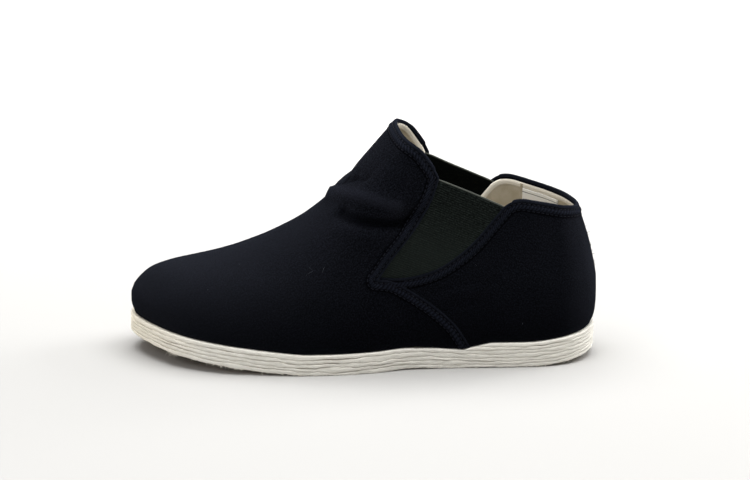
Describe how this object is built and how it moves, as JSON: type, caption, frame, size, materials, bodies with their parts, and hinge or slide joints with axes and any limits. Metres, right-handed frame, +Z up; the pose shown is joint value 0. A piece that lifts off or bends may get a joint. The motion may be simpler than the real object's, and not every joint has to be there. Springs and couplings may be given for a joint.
{
  "type": "chinese cloth shoe",
  "caption": "Left slip-on cloth shoe: hollow black cotton upper, elastic side gores, high instep and a sole of stacked cotton plies.",
  "frame": {"origin": "on the floor, under the middle of the flat spot of the heel", "axes": "+X towards the toe, +Y towards the outer (lateral) side of the left foot, +Z up"},
  "size_m": [0.2753, 0.0946, 0.137],
  "materials": {
    "sole_ply": "pasted and pressed off-white cotton, matt",
    "lining": "plain beige cotton canvas, matt",
    "black_cotton": "tight blue-black cotton, matt with a faint sheen",
    "elastic": "fine ribbed elastic webbing, dark grey green"
  },
  "bodies": {
    "root": {"sole_ply_1": "sole_ply", "sole_ply_2": "sole_ply", "sole_ply_3": "sole_ply", "sole_ply_4": "sole_ply", "sole_ply_5": "sole_ply", "heel_ply_1": "sole_ply", "heel_ply_2": "sole_ply", "insole": "lining", "upper": "black_cotton", "gore_lateral": "elastic", "gore_medial": "elastic"}
  },
  "joints": []
}
